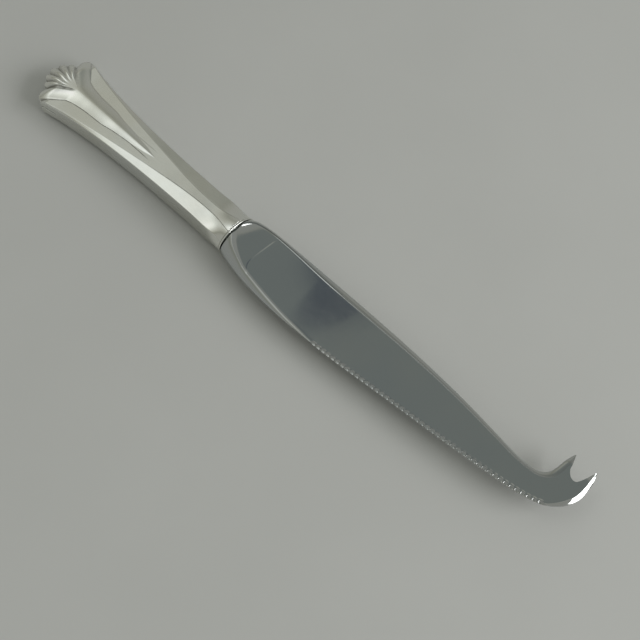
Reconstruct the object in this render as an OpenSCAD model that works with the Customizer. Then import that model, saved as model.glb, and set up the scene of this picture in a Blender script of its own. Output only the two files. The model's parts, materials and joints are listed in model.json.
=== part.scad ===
// Cheese knife with a hollow silver handle, a scalloped steel blade and a two pronged hook.
// Knife axes: X runs from the butt to the hook, Y from the cutting edge to the spine, Z through
// the thickness. The mouth of the handle is at X = 0. Each half of the handle mirrors the other
// in the plane Z = 0. The finished knife is then laid as it rests on a table.

/* [Handle] */
// Length of the handle from its mouth to the corners of the butt
handle_l = 79; // [70:1:95]
// Width across the corners of the butt
butt_w = 22; // [19:0.2:26]
// Width of the slim neck
neck_w = 11.7; // [10.5:0.1:13]
// Length of the flare between the neck and the mouth
mouth_flare_l = 15; // [10:0.5:20]
// Width of the mouth
mouth_w = 13.8; // [12.5:0.1:16]
// Thickness of the mouth
mouth_t = 10.4; // [9.6:0.1:12]
// Height of the side faces at the butt
butt_side_h = 5.3; // [4.4:0.1:5.6]
// Height of the side faces at the mouth
mouth_side_h = 7.7; // [6:0.1:8.6]
// Thickness from panel to panel at the butt
butt_panel_t = 5.9; // [5.7:0.1:6.6]
// Thickness from panel to panel at the mouth
mouth_panel_t = 9; // [8.8:0.1:10]
// Length over which the facets round into the oval mouth
round_l = 7; // [5:0.5:10]
// Thickness of the silver wall
wall = 0.9; // [0.6:0.05:1]

/* [Ridge and shell] */
// Half width of the ridge where it leaves the shell
ridge_half_w = 5; // [4:0.1:6]
// Rise of the ridge above the panel where it leaves the shell
ridge_rise = 0.9; // [0.6:0.05:1.4]
// Length of the ridge from the shell to its pointed end
ridge_l = 36; // [28:0.5:42]
// Distance from the corners of the butt to the point of the shell
shell_point_l = 6; // [5:0.1:8]
// Radius of the shell over its middle flute
shell_r = 8.2; // [7:0.1:9.2]
// Height of the rim of the shell above the seam
shell_rim_h = 2.4; // [1.8:0.1:2.8]
// Height of a flute above its valleys
flute_h = 0.75; // [0.4:0.05:1]
// Depth of the scallops in the rim of the shell
scallop_h = 0.6; // [0.3:0.05:1.2]
// Bulge of the shoulder between the shell and the corner of the butt
shoulder_bulge = 0.8; // [0.5:0.1:1.6]

/* [Collar] */
// Length of the beaded lip along the knife
lip_l = 0.8; // [0.6:0.1:1.6]
// Height of the bead above the mouth of the handle
bead_h = 0.2; // [0.1:0.05:0.4]
// Depth of the groove behind the bead
groove_h = 0.2; // [0.1:0.05:0.3]
// Length of the spigot that fits in the mouth
spigot_l = 2.2; // [1.5:0.1:4]

/* [Blade] */
// Length of the blade from the mouth of the handle to the front of the hook
blade_l = 124.5; // [105:0.5:145]
// Greatest width of the blade
blade_w = 19.1; // [16:0.1:22]
// Thickness of the blade at its spine
spine_t = 2; // [1.6:0.05:2.6]
// Thickness of the blade behind its cutting edge
edge_t = 0.6; // [0.5:0.05:0.9]
// Width of the rounded flank of the bolster at the collar
flank_w = 5; // [4:0.1:5.6]
// Rise of the flank of the bolster above the flat of the blade
flank_rise = 3.15; // [2.6:0.05:3.6]
// Further rise of the flank over the run-out at the collar
flank_lift = 1.15; // [0.8:0.05:1.4]
// Rise of the spine of the bolster above the flat of the blade
spine_rise = 1.45; // [1:0.05:1.8]
// Length over which the bolster tapers into the blade
taper_l = 42; // [30:1:55]
// Length of the ground run-out from the collar
run_out_l = 9.5; // [7:0.5:12]
// Radius of the wheel that grinds the run-out
run_out_r = 15.7; // [14:0.1:18]
// Depth of the dished face below the border of its flank
rim_h = 0.35; // [0.2:0.05:0.5]
// Width of the rim between the flank and the dished face
rim_w = 1.8; // [1.2:0.1:2.4]
// Width of the rounded stripe along the spine
stripe_w = 2; // [1.2:0.1:2.6]
// Spacing of the scallops along the cutting edge
serration_pitch = 1.75; // [1.4:0.05:2.4]
// Depth of a scallop behind the cutting edge
serration_depth = 0.4; // [0.3:0.05:0.6]

/* [Tang] */
// Length of the tang inside the handle
tang_l = 52; // [35:1:55]
// Width of the tang at the bolster
tang_w = 7.6; // [5:0.1:8]
// Thickness of the tang
tang_t = 3; // [2.5:0.1:3.6]
// Width of the notches that key the tang in the cement
notch_w = 2; // [1:0.1:3]

/* [Hidden] */

// Clearance between pieces that mate
fit_gap = 0.04;
// Clearance of the cement from the silver
cement_gap = 0.3;
// Dark gap between the bolster and the lip of the collar
shoulder_gap = 0.35;
// Step from the bead of the collar down to the bolster
bolster_step = 0.15;
// Depth to which the panel is dressed flat
dress_cut = 0.03;
// Overrun of a cutting tool past the surface it cuts
overrun = 1;

function lerp(a, b, t) = a + (b - a) * t;
function ease(t) = t <= 0 ? 0 : t >= 1 ? 1 : t * t * (3 - 2 * t);
function sum(v, i = 0) = i < len(v) ? v[i] + sum(v, i + 1) : 0;
function bezier(a, b, c, t) = (1 - t) * (1 - t) * a + 2 * t * (1 - t) * b + t * t * c;

// Catmull-Rom curve through the rows of a table
function smooth(rows, u) =
    let (
        last = len(rows) - 1,
        i = min(floor(u), last - 1),
        f = u - i,
        p0 = rows[max(0, i - 1)],
        p1 = rows[i],
        p2 = rows[i + 1],
        p3 = rows[min(last, i + 2)]
    )
    p1 + f / 2 * (p2 - p0 + f * (2 * p0 - 5 * p1 + 4 * p2 - p3 + f * (3 * p1 - p0 - 3 * p2 + p3)));

// Two grids of points that share a rim become one skin
function flat_list(rows) = [for (row = rows) each row];
function grid_faces(rows, cols, base, turned) =
    [for (i = [0:rows - 2], j = [0:cols - 2])
        let (
            a = base + i * cols + j,
            b = a + 1,
            c = b + cols,
            d = a + cols
        )
        each turned ? [[a, c, b], [a, d, c]] : [[a, b, c], [a, c, d]]];
module skin(outer, inner) {
    rows = len(outer);
    cols = len(outer[0]);
    count = rows * cols;
    last = (rows - 1) * cols;
    rim = concat(
        [for (j = [0:cols - 2]) [j + 1, j]],
        [for (i = [0:rows - 2]) [i * cols, (i + 1) * cols]],
        [for (j = [0:cols - 2]) [last + j, last + j + 1]],
        [for (i = [0:rows - 2]) [(i + 2) * cols - 1, (i + 1) * cols - 1]]
    );
    polyhedron(
        points = concat(flat_list(outer), flat_list(inner)),
        faces = concat(
            grid_faces(rows, cols, 0, false),
            grid_faces(rows, cols, count, true),
            [for (e = rim) each [[e[0], e[1], e[1] + count], [e[0], e[1] + count, e[0] + count]]]
        )
    );
}

// A closed solid through a list of rings of equal length
module loft(rings) {
    n = len(rings[0]);
    last = len(rings) - 1;
    ends = [for (ring = [rings[0], rings[last]]) [for (k = [0:2]) sum([for (p = ring) p[k]]) / n]];
    count = (last + 1) * n;
    polyhedron(
        points = concat(flat_list(rings), ends),
        faces = concat(
            [for (i = [0:last - 1], j = [0:n - 1])
                let (
                    a = i * n + j,
                    b = i * n + (j + 1) % n,
                    c = b + n,
                    d = a + n
                )
                each [[a, b, c], [a, c, d]]],
            [for (j = [0:n - 1]) [count, (j + 1) % n, j]],
            [for (j = [0:n - 1]) [count + 1, last * n + j, last * n + (j + 1) % n]]
        )
    );
}

// Half width of the handle: a long flare to the butt and a short one to the mouth
flare_share = 0.72;
function half_width(x) =
    let (
        neck = neck_w / 2,
        back = max(0, -x - mouth_flare_l) / (handle_l - mouth_flare_l),
        front = max(0, x + mouth_flare_l) / mouth_flare_l,
        flare = flare_share * pow(back, 2) + (1 - flare_share) * pow(back, 6)
    )
    neck + (butt_w / 2 - neck) * flare + (mouth_w / 2 - neck) * pow(front, 2);

// Half height of the side faces, and height of the flat panel above the middle plane
side_power = 1.28;
function side_z(x) = lerp(mouth_side_h / 2, butt_side_h / 2, pow(-x / handle_l, side_power));
function panel_z(x) = lerp(mouth_panel_t / 2, butt_panel_t / 2, -x / handle_l);

// Half width of the flat panel in even steps from the mouth to the butt, as shares of the half
// width there
panel_shares = [0.36, 0.235, 0.24, 0.33, 0.47, 0.6, 0.72, 0.82, 0.9, 0.95, 0.975];
function panel_y(x, w) = w * smooth(panel_shares, -x / handle_l * (len(panel_shares) - 1));
// Half width of the ridge from its pointed end to the shell
crease_shares = [
    [0, 0.02], [0.12, 0.19], [0.25, 0.31], [0.46, 0.47], [0.57, 0.62], [0.66, 0.66], [0.79, 0.7],
    [0.925, 0.83], [1, 1]
];
// Half width of the fine columns that run on from the shell along the crest of the ridge
crest_shares = [[0, 0.26], [0.55, 0.24], [0.8, 0.16], [1, 0.07]];
// The foot of the ridge lies outside its crest and inside the panel
crest_foot_share = 1.3;
panel_foot_share = 0.85;

// The plain sections of the handle start at the point of the shell
shell_x = shell_point_l - handle_l;
function ridge_place(x) = max(0, (ridge_l - x + shell_x) / ridge_l);
function crease_y(x) = ridge_half_w * lookup(ridge_place(x), crease_shares);
function ridge_profile(y, c) = y >= c ? 0 : 1 - pow(y / c, 1.5);

// Columns of the handle's surface, counted from its centre line to the seam
shell_cols = 10;
slope_cols = 3;
lobe_cols = 4;
side_col = shell_cols + slope_cols + 4;
seam_col = side_col + 1;

// One quarter section of the handle from the centre line to the seam, as [y, z].
// Its facets round into an oval over the last stretch before the mouth. The inner side does so
// behind the spigot of the collar.
inner_round_l = 5;
spigot_x = -lip_l - spigot_l;
inner_oval_x = spigot_x - wall;
side_angles = [72, 54, 36, 18, 0];
function section(x, inset) =
    let (
        w = half_width(x) - inset,
        top = panel_z(x) - inset,
        side = side_z(x) - inset / 2,
        b = panel_y(x, w),
        c = crease_y(x),
        rise = ridge_rise * c / ridge_half_w,
        k = min(ridge_half_w * lookup(ridge_place(x), crest_shares), b / 2),
        edge = min(max(c, crest_foot_share * k), panel_foot_share * b),
        crest = [for (j = [0:shell_cols]) k * j / shell_cols],
        slope = [for (j = [1:slope_cols]) lerp(k, edge, j / slope_cols)],
        faceted = concat(
            [for (y = concat(crest, slope)) [y, top + rise * ridge_profile(y, c)]],
            [[(edge + b) / 2, top], [b, top], [(b + w) / 2, (top + side) / 2], [w, side], [w, 0]]
        ),
        turn = seam_col - len(side_angles) + 1,
        angles = concat([for (j = [0:turn - 1]) lerp(90, side_angles[0], j / turn)], side_angles),
        m = inset > 0 ? ease(1 + (x - inner_oval_x) / inner_round_l) : ease(1 + (x + lip_l) / round_l)
    )
    [for (j = [0:seam_col]) [
        lerp(faceted[j][0], (mouth_w / 2 - inset) * cos(angles[j]), m),
        lerp(faceted[j][1], (mouth_t / 2 - inset) * sin(angles[j]), m)
    ]];

// Outline of the butt: the scalloped rim of the shell, then a rounded shoulder to the corner
flute_origin_share = 0.15;
flute_x = -handle_l + flute_origin_share * shell_point_l;
flute_fan = 62;
fan_fade_share = 0.1;
shoulder_reach_share = 0.9;
shoulder_shares = [0.33, 0.66, 0.94, 0.96, 0.975, 0.99, 1];
function lobe(j) = sin(180 * ((j + lobe_cols / 2) % lobe_cols) / lobe_cols);
function rim_point(j) =
    let (
        a = flute_fan * j / shell_cols,
        r = shell_r * (1 - fan_fade_share * j / shell_cols) - scallop_h * (1 - lobe(j))
    )
    [flute_x - r * cos(a), r * sin(a)];
butt_corner = [-handle_l, butt_w / 2];
function butt_point(j) =
    let (valley = rim_point(shell_cols))
    j <= shell_cols ? rim_point(j)
        : bezier(
            valley,
            [valley[0] - shoulder_bulge, shoulder_reach_share * butt_corner[1]],
            butt_corner,
            shoulder_shares[j - shell_cols - 1]
        );
function inset_point(p, inset) =
    let (d = p - [shell_x, 0])
    p - d * inset / norm(d);

// One row of the butt, a share v of the way from its outline to the point of the shell
butt_row_shares = [0, 0.05, 0.13, 0.25, 0.4, 0.56, 0.73, 0.87];
shoulder_rim_share = 0.85;
rim_blend_cols = 2;
fan_pinch_share = 0.3;
dome_share = 0.4;
flute_run_share = 0.6;
flute_start_share = 0.35;
flute_growth = 4;
corner_step_share = 0.05;
seam_step_share = 0.02;
function butt_row(v, inset, fluted) =
    let (
        goal = section(shell_x, inset),
        shoulder_z = shoulder_rim_share * butt_side_h / 2,
        corner = inset_point(butt_corner, inset)
    )
    concat(
        [for (j = [0:side_col])
            let (
                rim = inset_point(butt_point(j), inset),
                end = [shell_x, goal[j][0]],
                in_shell = j <= shell_cols,
                middle = [flute_x, fan_pinch_share * rim[1]],
                p = in_shell ? bezier(rim, middle, end, v) : lerp(rim, end, v),
                blend = ease((j - shell_cols + 1) / rim_blend_cols),
                rim_z = lerp(shell_rim_h, shoulder_z, blend) - inset / 2,
                dome = sin(90 * min(1, v / dome_share)),
                rise = fluted && in_shell ? flute_h * lobe(j) * (1 - ease(v / flute_run_share)) : 0,
                growth = min(1, flute_start_share + flute_growth * v)
            )
            [p[0], p[1], lerp(rim_z, goal[j][1], dome) + rise * growth]],
        [concat(lerp(corner, [shell_x, goal[seam_col][0]], lerp(corner_step_share, 1, v)), 0)]
    );
function seam_row(inset) =
    let (corner = inset_point(butt_corner, inset))
    concat(
        [for (j = [0:side_col]) concat(inset_point(butt_point(j), inset), 0)],
        [concat(lerp(corner, [shell_x, half_width(shell_x) - inset], seam_step_share), 0)]
    );

// Rows of one half of the handle, from the butt to the collar
plain_rows = 18;
row_crowding = 1.4;
plain_x = [for (i = [0:plain_rows]) lerp(-lip_l, shell_x, pow(1 - i / plain_rows, row_crowding))];
function half_rows(inset, fluted) =
    concat(
        [seam_row(inset)],
        [for (v = butt_row_shares) butt_row(v, inset, fluted)],
        [for (x = plain_x) [for (p = section(x, inset)) [x, p[0], p[1]]]]
    );
function both_sides(rows) =
    [for (row = rows) concat([for (j = [seam_col:-1:1]) [row[j][0], -row[j][1], row[j][2]]], row)];

// The panel between the pointed end of the ridge and the mouth is dressed to one true plane
panel_slope = atan((mouth_panel_t - butt_panel_t) / 2 / handle_l);
panel_cut_z = mouth_panel_t / 2 - dress_cut;
panel_start_x = shell_x + ridge_l + overrun;
panel_end_x = -round_l - lip_l;
module panel_plane() {
    translate([0, 0, panel_cut_z])
        rotate([0, -panel_slope, 0])
            children();
}
module handle_half() {
    difference() {
        skin(both_sides(half_rows(0, true)), both_sides(half_rows(wall, false)));
        panel_plane()
            translate([panel_start_x, -butt_w / 2, 0])
                cube([panel_end_x - panel_start_x, butt_w, mouth_t]);
    }
}

// Oval ring of points across the knife. A flattened ring has half as many sides, which
// matches the facets inside the mouth of the handle.
ring_sides = 40;
function oval_ring(x, w, t, flattened = false) =
    [for (i = [0:ring_sides - 1])
        let (
            a = -360 * i / ring_sides,
            r = flattened && i % 2 == 1 ? cos(360 / ring_sides) : 1
        )
        [x, r * w / 2 * cos(a), r * t / 2 * sin(a)]];

// The bead of the collar is worn flat above and below, which keeps the knife from rolling
worn_angle = 90 - 360 / ring_sides;
function worn_ring(ring, t) =
    let (flat_z = t / 2 * sin(worn_angle))
    [for (p = ring) [p[0], p[1], max(-flat_z, min(flat_z, p[2]))]];

// The collar closes the mouth: a spigot, a groove, a beaded lip and a slot for the tang
bead_shares = [[0.3, 0.2], [0.45, 0.75], [0.65, 1], [0.85, 0.75], [1, 0]];
crown_place = bead_shares[2][0];
module collar() {
    spigot_w = mouth_w - 2 * (wall + fit_gap);
    spigot_t = mouth_t - 2 * (wall + fit_gap);
    groove_x = -lip_l + fit_gap;
    color("gainsboro")
        difference() {
            loft(concat(
                [for (x = [spigot_x, groove_x]) oval_ring(x, spigot_w, spigot_t, true)],
                [oval_ring(groove_x, mouth_w - 2 * groove_h, mouth_t - 2 * groove_h)],
                [for (s = bead_shares)
                    let (
                        w = mouth_w + 2 * bead_h * s[1],
                        t = mouth_t + 2 * bead_h * s[1]
                    )
                    worn_ring(oval_ring(lip_l * (s[0] - 1), w, t), t)]
            ));
            translate([spigot_x - overrun, -tang_w / 2 - fit_gap, -tang_t / 2 - fit_gap])
                cube([lip_l + spigot_l + 2 * overrun, tang_w + 2 * fit_gap, tang_t + 2 * fit_gap]);
        }
}

// Cement fills the handle from its round mouth to the shell and grips the notched tang
module cement_fill() {
    start_x = inner_oval_x - inner_round_l;
    color("dimgray")
        difference() {
            loft([for (x = plain_x) if (x < start_x) cement_ring(x)]);
            tang(fit_gap);
        }
}
function cement_ring(x) =
    let (
        s = section(x, wall + cement_gap),
        shoulder = s[side_col - 2],
        top_z = min([for (p = s) if (p[0] <= shoulder[0]) p[1]]),
        quarter = [s[seam_col], s[side_col], [shoulder[0], top_z]]
    )
    concat(
        [for (p = quarter) [x, p[0], -p[1]]],
        [for (k = [2:-1:0]) [x, -quarter[k][0], -quarter[k][1]]],
        [for (k = [1:2]) [x, -quarter[k][0], quarter[k][1]]],
        [for (k = [2:-1:1]) [x, quarter[k][0], quarter[k][1]]]
    );

// The tang tapers to its end and has notches on both sides; a gap around it makes its pocket
tang_notch_shares = [0.35, 0.55, 0.75];
tang_end_share = 0.6;
tang_root_l = 2;
module tang(gap) {
    root = shoulder_gap + tang_root_l;
    side = tang_w / 2 + gap;
    end = tang_end_share * tang_w / 2 + gap;
    translate([0, 0, -tang_t / 2 - gap])
        linear_extrude(tang_t + 2 * gap)
            difference() {
                polygon([[root, -side], [root, side], [-tang_l - gap, end], [-tang_l - gap, -end]]);
                for (s = tang_notch_shares, turn = [-1, 1])
                    translate([-tang_l * s, turn * tang_w / 2])
                        square(notch_w - 2 * gap, center = true);
            }
}

// Stations of the blade from the collar to the tips of the hook, on the cutting side and on the
// spine side, as shares of the blade's length and of its width
cut_shares = [
    [0, -0.36], [0.018, -0.4], [0.048, -0.442], [0.09, -0.487], [0.15, -0.516], [0.225, -0.524],
    [0.285, -0.51], [0.325, -0.497], [0.4, -0.46], [0.48, -0.405], [0.58, -0.337], [0.683, -0.27],
    [0.787, -0.193], [0.867, -0.125], [0.924, -0.042], [0.957, 0.048], [0.984, 0.215], [0.998, 0.42],
    [0.999, 0.628], [0.995, 0.796], [0.988, 0.922]
];
spine_shares = [
    [0, 0.36], [0.018, 0.405], [0.054, 0.447], [0.096, 0.463], [0.15, 0.471], [0.225, 0.477],
    [0.29, 0.482], [0.345, 0.484], [0.42, 0.482], [0.49, 0.476], [0.58, 0.457], [0.675, 0.42],
    [0.763, 0.365], [0.83, 0.318], [0.867, 0.314], [0.894, 0.35], [0.911, 0.447], [0.917, 0.576],
    [0.92, 0.733], [0.9235, 0.838], [0.927, 0.916]
];
// Widths of the flank and of the stripe along the spine at each station, as shares of their
// named widths
form_shares = [
    [1, 2.2], [0.72, 1.1], [0.52, 0.65], [0.42, 0.55], [0.34, 0.6], [0.2, 0.75], [0.09, 0.85],
    [0.05, 0.9], [0.05, 0.85], [0.05, 0.75], [0.05, 0.68], [0.05, 0.62], [0.05, 0.6],
    [0.05, 0.6], [0.05, 0.65], [0.09, 0.8], [0.22, 0.9], [0.24, 0.95], [0.22, 0.85],
    [0.18, 0.6], [0.08, 0.3]
];
stations = len(cut_shares) - 1;
station_steps = 2;
bolster_stations = 3;
hook_station = 14;
tip_station = 18;
function outline_place(p) = [shoulder_gap + p[0] * (blade_l - shoulder_gap), p[1] * blade_w];
// The bolster starts as wide as the bead of the collar and runs into the blade's own outline
bolster_start = mouth_w / 2 + bead_h - bolster_step - spine_shares[0][1] * blade_w;
function bolster_fit(u) = bolster_start * max(0, 1 - u / bolster_stations);
function cut_point(u) = outline_place(smooth(cut_shares, u)) - [0, bolster_fit(u)];
function spine_point(u) = outline_place(smooth(spine_shares, u)) + [0, bolster_fit(u)];

// Rounded sides of a section end in a crease, at this angle from the edge of the blade
arc_end = 50;
arc_steps = 3;
function arc_place(a) = (1 - cos(a)) / (1 - cos(arc_end));
function arc_rise(a) = sin(a) / sin(arc_end);

// Upper half of one section, as [share of the way from the cutting side to the spine, height]
face_shares = [0, 0.08, 0.2, 0.5, 0.8];
least_flank_share = 0.03;
least_stripe_share = 0.1;
edge_share = 0.35;
hook_edge_share = 0.2;
hook_side_share = 0.45;
hook_flat_share = 0.85;
hook_stations = 3;
tip_loss_share = 0.6;
flank_power = 1.6;
lift_power = 1.3;
thin_dish_share = 0.15;
function blade_profile(u, start_x, width) =
    let (
        form = [for (f = smooth(form_shares, u)) max(f, 0)],
        taper = max(0, 1 - start_x / taper_l),
        near = max(0, 1 - start_x / run_out_l),
        hook = ease((u - hook_station) / hook_stations),
        tip = 1 - tip_loss_share * ease((u - tip_station) / (stations - tip_station)),
        flank = flank_w * max(form[0], least_flank_share),
        stripe = stripe_w * max(form[1], least_stripe_share),
        edge_z = tip * lerp(edge_share, hook_edge_share, hook) * edge_t,
        body_z = tip * lerp(edge_t / 2, hook_side_share * spine_t, hook),
        border_z = body_z + flank_rise * pow(taper, flank_power) + flank_lift * pow(near, lift_power),
        run_out = pow(near * run_out_l, 2) / (2 * run_out_r),
        stripe_z = tip * spine_t / 2 + spine_rise * pow(taper, 2) + run_out,
        spine_z = tip * spine_t / 4,
        face_w = width - flank - stripe,
        sink = rim_h * lerp(thin_dish_share, 1, ease(3 * taper)) * (1 - hook)
    )
    concat(
        [for (k = [0:arc_steps - 1])
            let (
                a = arc_end * k / arc_steps,
                climb = lerp(arc_rise(a), arc_place(a), hook_flat_share * hook)
            )
            [flank * arc_place(a) / width, lerp(edge_z, border_z, climb)]],
        [for (s = face_shares)
            let (rim = max(0, 1 - s * face_w / rim_w))
            [(flank + s * face_w) / width, lerp(border_z, stripe_z, s) - sink * (1 - rim * rim)]],
        [for (k = [arc_steps:-1:0])
            let (a = arc_end * k / arc_steps)
            [1 - stripe * arc_place(a) / width, lerp(spine_z, stripe_z, arc_rise(a))]]
    );
function blade_ring(u) =
    let (
        from = cut_point(u),
        across = spine_point(u) - from,
        upper = blade_profile(u, from[0], norm(across))
    )
    concat(
        [for (p = upper) concat(from + across * p[0], p[1])],
        [for (i = [len(upper) - 1:-1:0]) concat(from + across * upper[i][0], -upper[i][1])]
    );

module blade() {
    color("slategray")
        difference() {
            union() {
                loft([for (i = [0:stations * station_steps]) blade_ring(i / station_steps)]);
                tang(0);
            }
            hook_notch();
            scallops();
        }
}

// Notch between the two prongs of the hook
hook_notch_shares = [
    [0.926, 0.98], [0.937, 0.78], [0.942, 0.67], [0.9535, 0.592],
    [0.9675, 0.586], [0.977, 0.7], [0.983, 0.83], [0.99, 0.98]
];
notch_steps = 24;
module hook_notch() {
    translate([0, 0, -mouth_t / 2])
        linear_extrude(mouth_t)
            polygon([for (i = [0:notch_steps])
                outline_place(smooth(hook_notch_shares, (len(hook_notch_shares) - 1) * i / notch_steps))]);
}

// Scallops ground into the cutting edge from the upper face by a round stone held at a tilt
serrated_stations = [7, 15];
edge_samples = 40;
grind_tilt = 52;
stone_share = 0.47;
scallop_span_shares = [0.4, 0.6];
module scallops() {
    line = [for (i = [0:edge_samples])
        cut_point(lerp(serrated_stations[0], serrated_stations[1], i / edge_samples))];
    run = [for (i = [0:edge_samples]) i == 0 ? 0 : sum([for (k = [1:i]) norm(line[k] - line[k - 1])])];
    count = floor(run[edge_samples] / serration_pitch);
    for (i = [0:count - 1])
        scallop(
            run_place(line, run, (i + scallop_span_shares[0]) * serration_pitch),
            run_place(line, run, (i + scallop_span_shares[1]) * serration_pitch)
        );
}
function run_place(line, run, s) =
    [for (k = [0:1]) lookup(s, [for (i = [0:edge_samples]) [run[i], line[i][k]]])];
module scallop(before, after) {
    heading = after - before;
    stone_r = stone_share * serration_pitch;
    stone_l = 3 * serration_pitch;
    stone_y = serration_depth - stone_r * sin(grind_tilt);
    stone_z = stone_r * cos(grind_tilt) - edge_t / 2;
    translate(concat((before + after) / 2, 0))
        rotate([0, 0, atan2(heading[1], heading[0])])
            translate([0, stone_y, stone_z])
                rotate([90 + grind_tilt, 0, 0])
                    cylinder(r = stone_r, h = stone_l, center = true, $fn = 16);
}

module handle_upper() {
    color("silver")
        handle_half();
}

module handle_lower() {
    color("silver")
        mirror([0, 0, 1])
            handle_half();
}

// The knife lies on the crests of its shell and on the bead of its collar. The origin is the centre
// of the dressed panel of the lower half, which stays just clear of the table.
bead_x = -lip_l * (1 - crown_place);
bead_z = (mouth_t / 2 + bead_h) * sin(worn_angle);
rest_slope = min([for (row = half_rows(0, true), p = row) atan((bead_z - p[2]) / (bead_x - p[0]))]);
panel_mid_x = (panel_start_x + panel_end_x) / 2;
panel_mid_z = panel_cut_z + panel_mid_x * tan(panel_slope);
module placed() {
    rotate([0, -rest_slope, 0])
        translate([-panel_mid_x, 0, panel_mid_z])
            children();
}

placed() blade();
placed() handle_upper();
placed() handle_lower();
placed() collar();
placed() cement_fill();
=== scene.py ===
"""A cheese knife with a hollow silver handle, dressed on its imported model.

Knife axes, in millimetres: X runs from the butt to the hook, Y from the cutting edge to the spine,
Z through the thickness, and the mouth of the handle is at X = 0. Each surface is built in these
axes and is then laid on the table by place(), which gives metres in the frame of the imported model.
"""

import json
import math

import bmesh
import bpy
import numpy as np
from mathutils import Matrix, Vector


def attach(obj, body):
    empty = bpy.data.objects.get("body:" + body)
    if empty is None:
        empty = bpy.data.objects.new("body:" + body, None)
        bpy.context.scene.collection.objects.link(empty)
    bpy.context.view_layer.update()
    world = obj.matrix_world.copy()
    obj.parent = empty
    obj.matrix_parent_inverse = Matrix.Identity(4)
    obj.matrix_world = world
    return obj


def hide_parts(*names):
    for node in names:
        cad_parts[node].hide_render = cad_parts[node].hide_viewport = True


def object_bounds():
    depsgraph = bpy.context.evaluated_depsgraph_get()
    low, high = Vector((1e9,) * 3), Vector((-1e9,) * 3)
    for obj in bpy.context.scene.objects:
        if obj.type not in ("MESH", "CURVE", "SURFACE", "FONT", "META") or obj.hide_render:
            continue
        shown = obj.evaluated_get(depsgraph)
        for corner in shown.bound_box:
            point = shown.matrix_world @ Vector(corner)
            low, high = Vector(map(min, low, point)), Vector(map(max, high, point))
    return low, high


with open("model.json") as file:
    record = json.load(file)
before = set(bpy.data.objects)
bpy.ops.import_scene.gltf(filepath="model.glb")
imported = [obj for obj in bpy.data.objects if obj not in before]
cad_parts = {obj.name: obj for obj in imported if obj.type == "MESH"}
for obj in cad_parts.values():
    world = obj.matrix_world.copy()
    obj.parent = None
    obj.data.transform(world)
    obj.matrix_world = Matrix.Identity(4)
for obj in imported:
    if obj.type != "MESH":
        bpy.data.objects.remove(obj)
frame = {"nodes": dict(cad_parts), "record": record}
CAD_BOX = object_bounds()
MM = 0.001
TINY = 1e-6

# Handle, in millimetres
HANDLE_L = 79
BUTT_W = 22
NECK_W = 11.7
MOUTH_FLARE_L = 15
MOUTH_W = 13.8
MOUTH_T = 10.4
BUTT_SIDE_H = 5.3
MOUTH_SIDE_H = 7.7
BUTT_PANEL_T = 5.9
MOUTH_PANEL_T = 9
WALL = 0.9
DRESS_CUT = 0.03
PANEL_ENDS = (-36, -7.8)
FLARE_SHARE = 0.72
FLARE_END_POWER = 6
SIDE_POWER = 1.28
CORNER_R = 0.22
ROUND_L = 11
ROUND_POWER = 2.2

# Ridge and shell
RIDGE_HALF_W = 5
RIDGE_RISE = 0.9
RIDGE_POWER = 1.5
RIDGE_L = 36
FOOT_R = 0.4
FOOT_PAST_CREST = 1.3
FOOT_LIMIT = 0.85
SHELL_POINT_L = 6
SHELL_R = 8.2
SHELL_RIM_H = 2.4
FLUTE_H = 0.75
FLUTE_FAN = math.radians(62)
FLUTE_CURVE = 0.3
FLUTE_L_SHARE = 0.6
FLUTE_BLEND = 0.2
FLUTE_AT_RIM = 0.45
FLUTE_GROWTH = 4
FAN_FADE = 0.1
SCALLOP_H = 0.6
LOBES = 2.5
RIM_LEAN = 0.15
SHOULDER_BULGE = 0.8
SHOULDER_BULGE_PLACE = 0.93
SHOULDER_H_SHARE = 0.85
SHOULDER_LOBE_H = 0.45
DOME_L_SHARE = 0.4
BUTT_CORNER = np.array([-HANDLE_L + 0.3, BUTT_W / 2 - 0.1])
SHELL_X = SHELL_POINT_L - HANDLE_L
FLUTE_X = -HANDLE_L + 0.15 * SHELL_POINT_L

# Collar
LIP_L = 0.8
LIP_STEP = 0.25
BEAD_W = 0.5
BEAD_H = 0.2
BEAD_SINK = 0.06
BEAD_SETBACK = 0.04
GROOVE_H = 0.2
GROOVE_END = 0.05
GROOVE_STEP = 0.1
GROOVE_BEVEL = 0.02
SPIGOT_L = 2.2
FIT_GAP = 0.04
WORN_HEIGHT = math.sin(math.radians(81))

# Blade and tang
BLADE_L = 124.5
BLADE_W = 19.1
SPINE_T = 2
EDGE_T = 0.6
FLANK_W = 5
STRIPE_W = 2
SERRATION_PITCH = 1.75
SERRATION_DEPTH = 0.4
GRIND_TILT = math.radians(52)
GRIND_W = 1.3
STONE_R = 0.47 * SERRATION_PITCH
SHOULDER_GAP = 0.35
BOLSTER_STEP = 0.15
TANG_L = 52
TANG_W = 7.6
TANG_T = 3
TANG_ROOT_L = 2
TANG_END_SHARE = 0.6
TANG_NOTCH_SHARES = (0.35, 0.55, 0.75)
NOTCH_W = 2

# How the knife lies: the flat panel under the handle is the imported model's origin
PANEL_SLOPE = math.atan((MOUTH_PANEL_T - BUTT_PANEL_T) / 2 / HANDLE_L)
PANEL_NORMAL = frame["record"]["mounts"][0]["axis"]
REST_SLOPE = PANEL_SLOPE + math.asin(PANEL_NORMAL[0])
PANEL_MID_X = sum(PANEL_ENDS) / 2
PANEL_MID_Z = MOUTH_PANEL_T / 2 - DRESS_CUT + PANEL_MID_X * math.tan(PANEL_SLOPE)
LAY = Matrix.Rotation(-REST_SLOPE, 4, "Y") @ Matrix.Translation((-PANEL_MID_X, 0, PANEL_MID_Z))
LAY_TURN = np.array(LAY.to_3x3())


def place(points):
    """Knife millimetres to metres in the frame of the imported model."""
    return (np.asarray(points, float) @ LAY_TURN.T + np.array(LAY.translation)) * MM


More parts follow.
